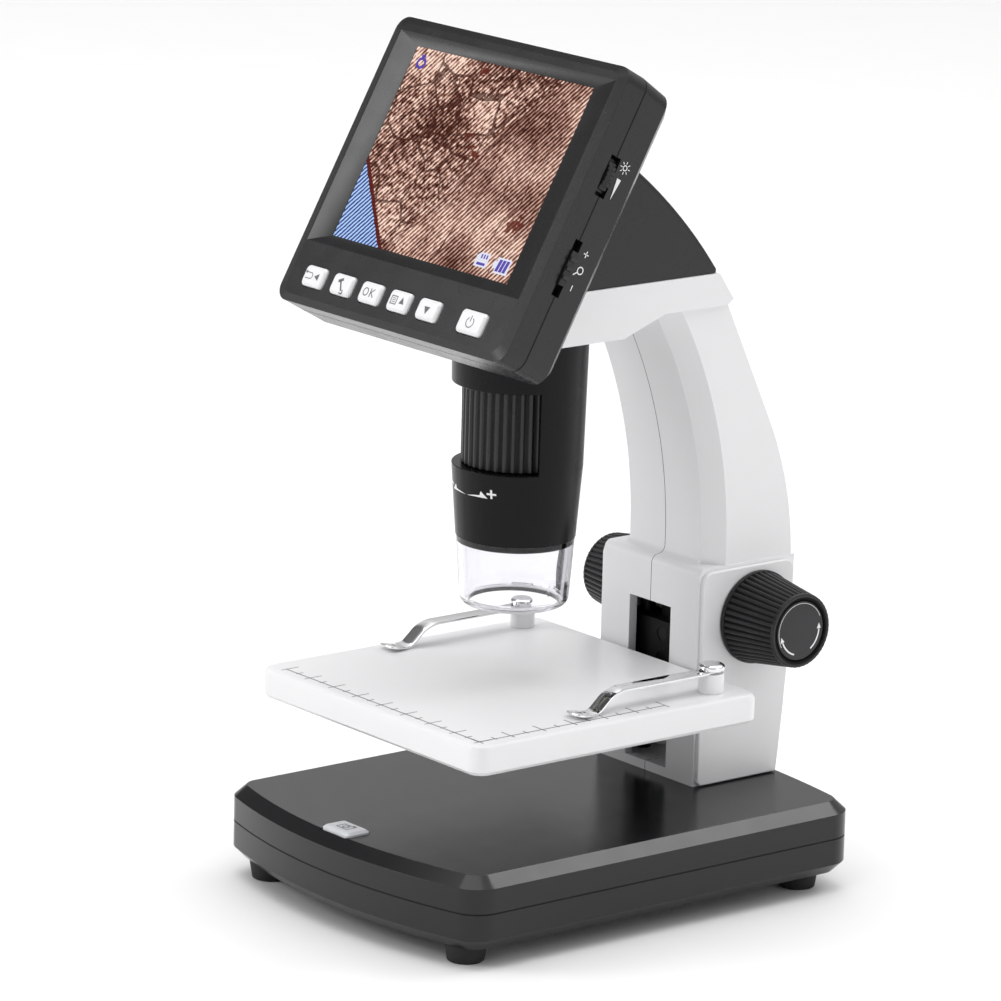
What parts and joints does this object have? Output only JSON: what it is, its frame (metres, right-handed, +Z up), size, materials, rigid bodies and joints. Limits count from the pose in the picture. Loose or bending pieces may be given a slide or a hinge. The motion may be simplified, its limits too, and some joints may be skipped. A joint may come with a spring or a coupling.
{
  "type": "lcd digital microscope",
  "caption": "Desktop digital microscope: weighted base, C-shaped arm with twin focus knobs, racked stage with spring clips, camera barrel with clear hood, and a tilted LCD head with keys.",
  "frame": {"origin": "centre of the footprint on the table, under the rubber feet", "axes": "+Z up, -Y towards the user, +X to the user's right"},
  "size_m": [0.1044, 0.138, 0.222],
  "materials": {
    "base_black": "dark satin moulded plastic with a fine sheen",
    "body_black": "fine-grained charcoal moulded plastic",
    "body_white": "semi-gloss white moulded plastic",
    "grip_black": "ribbed black plastic",
    "key_white": "satin white moulded keys",
    "button_grey": "satin light grey moulded plastic",
    "foot_rubber": "soft dull rubber",
    "steel": "plain ground steel",
    "chrome": "bright plated spring steel",
    "brass": "turned brass",
    "cast_aluminium": "machined aluminium",
    "nylon": "natural nylon",
    "optical_glass": "coated optical glass",
    "clear_plastic": "clear smoky moulded plastic",
    "led_lens": "cast epoxy lens",
    "screen": "lit liquid crystal screen under clear plastic",
    "board": "green printed circuit board",
    "battery_film": "shrink-film wrapped cell"
  },
  "bodies": {
    "stand": {"base_upper_shell": "base_black", "base_lower_shell": "base_black", "head_cap": "body_black", "barrel_shell": "body_black", "display_bezel": "body_black", "display_rear_shell": "body_black", "column_left": "body_white", "column_right": "body_white", "side_cover_left": "body_white", "side_cover_right": "body_white", "head_collar": "body_white", "rubber_feet": "foot_rubber", "ballast_plate": "steel", "base_screws": "steel", "column_screws": "steel", "guide_rods": "steel", "rod_bracket": "steel", "head_screws": "steel", "barrel_screws": "steel", "display_screws": "steel", "usb_socket": "steel", "card_socket": "steel", "shaft_bushes": "brass", "clear_hood": "clear_plastic", "leds": "led_lens", "lcd_panel": "screen", "snap_board": "board", "sensor_board": "board", "led_board": "board", "key_board": "board", "main_board": "board", "battery_pack": "battery_film"},
    "stage": {"carriage": "body_black", "rack": "steel", "rack_screws": "steel", "stage_plate": "body_white", "stage_screws": "steel", "clip_posts": "body_white"},
    "left_clip": {"clip_left": "chrome", "clip_cap_left": "chrome"},
    "right_clip": {"clip_right": "chrome", "clip_cap_right": "chrome"},
    "focus_drive": {"focus_shaft": "steel", "pinion": "brass", "shaft_collars": "steel", "friction_washers": "nylon", "knob_left": "grip_black", "knob_right": "grip_black"},
    "focus_ring": {"focus_wheel": "grip_black"},
    "lens": {"lens_cell": "cast_aluminium", "objective_lens": "optical_glass"},
    "snap": {"snap_button": "button_grey"},
    "dial": {"brightness_wheel": "grip_black"},
    "zoom": {"zoom_switch": "key_white"},
    "back_key": {"key_back": "key_white"},
    "tool_key": {"key_tool": "key_white"},
    "select_key": {"key_select": "key_white"},
    "up_key": {"key_up": "key_white"},
    "down_key": {"key_down": "key_white"},
    "power_key": {"key_power": "key_white"}
  },
  "joints": [
    {"name": "stage_slide", "type": "slide", "parent": "stand", "child": "stage", "axis": [0, 0, 1], "range_m": [-0.019, 0.0135]},
    {"name": "focus_shaft_turn", "type": "hinge", "parent": "stand", "child": "focus_drive", "pos_m": [0, 0.0551, 0.0679], "axis": [1, 0, 0], "range_deg": [-130, 182.5]},
    {"name": "focus_wheel_turn", "type": "hinge", "parent": "stand", "child": "focus_ring", "pos_m": [0, -0.00948, 0.124], "axis": [0, 0, 1], "range_deg": [-150, 150]},
    {"name": "lens_slide", "type": "slide", "parent": "stand", "child": "lens", "axis": [0, 0, 1], "range_m": [-0.00301, 0.00301]},
    {"name": "left_clip_swivel", "type": "hinge", "parent": "stage", "child": "left_clip", "pos_m": [-0.0385, 0.025, 0.0615], "axis": [0, 0, 1], "range_deg": [-90, 50]},
    {"name": "right_clip_swivel", "type": "hinge", "parent": "stage", "child": "right_clip", "pos_m": [0.0385, 0.025, 0.0615], "axis": [0, 0, 1], "range_deg": [-50, 90]},
    {"name": "snap_press", "type": "slide", "parent": "stand", "child": "snap", "axis": [0, 0, -1], "range_m": [0, 0.0008], "stiffness_N_per_m": 800, "springref_m": -0.0008},
    {"name": "brightness_turn", "type": "hinge", "parent": "stand", "child": "dial", "pos_m": [0.0413, -0.0211, 0.19591], "axis": [0, -0.8729, 0.4879], "range_deg": [-135, 135]},
    {"name": "zoom_slide", "type": "slide", "parent": "stand", "child": "zoom", "axis": [0, 0.4879, 0.8729], "range_m": [-0.0025, 0.0025], "stiffness_N_per_m": 200},
    {"name": "back_key_press", "type": "slide", "parent": "stand", "child": "back_key", "axis": [0, 0.8729, -0.4879], "range_m": [0, 0.0008], "stiffness_N_per_m": 600, "springref_m": -0.0008},
    {"name": "tool_key_press", "type": "slide", "parent": "stand", "child": "tool_key", "axis": [0, 0.8729, -0.4879], "range_m": [0, 0.0008], "stiffness_N_per_m": 600, "springref_m": -0.0008},
    {"name": "select_key_press", "type": "slide", "parent": "stand", "child": "select_key", "axis": [0, 0.8729, -0.4879], "range_m": [0, 0.0008], "stiffness_N_per_m": 600, "springref_m": -0.0008},
    {"name": "up_key_press", "type": "slide", "parent": "stand", "child": "up_key", "axis": [0, 0.8729, -0.4879], "range_m": [0, 0.0008], "stiffness_N_per_m": 600, "springref_m": -0.0008},
    {"name": "down_key_press", "type": "slide", "parent": "stand", "child": "down_key", "axis": [0, 0.8729, -0.4879], "range_m": [0, 0.0008], "stiffness_N_per_m": 600, "springref_m": -0.0008},
    {"name": "power_key_press", "type": "slide", "parent": "stand", "child": "power_key", "axis": [0, 0.8729, -0.4879], "range_m": [0, 0.0008], "stiffness_N_per_m": 600, "springref_m": -0.0008}
  ],
  "couplings": [
    {"joint": "focus_shaft_turn", "follows": "stage_slide", "rad_per_m": -166.67},
    {"joint": "lens_slide", "follows": "focus_wheel_turn", "m_per_rad": 0.0011459}
  ]
}
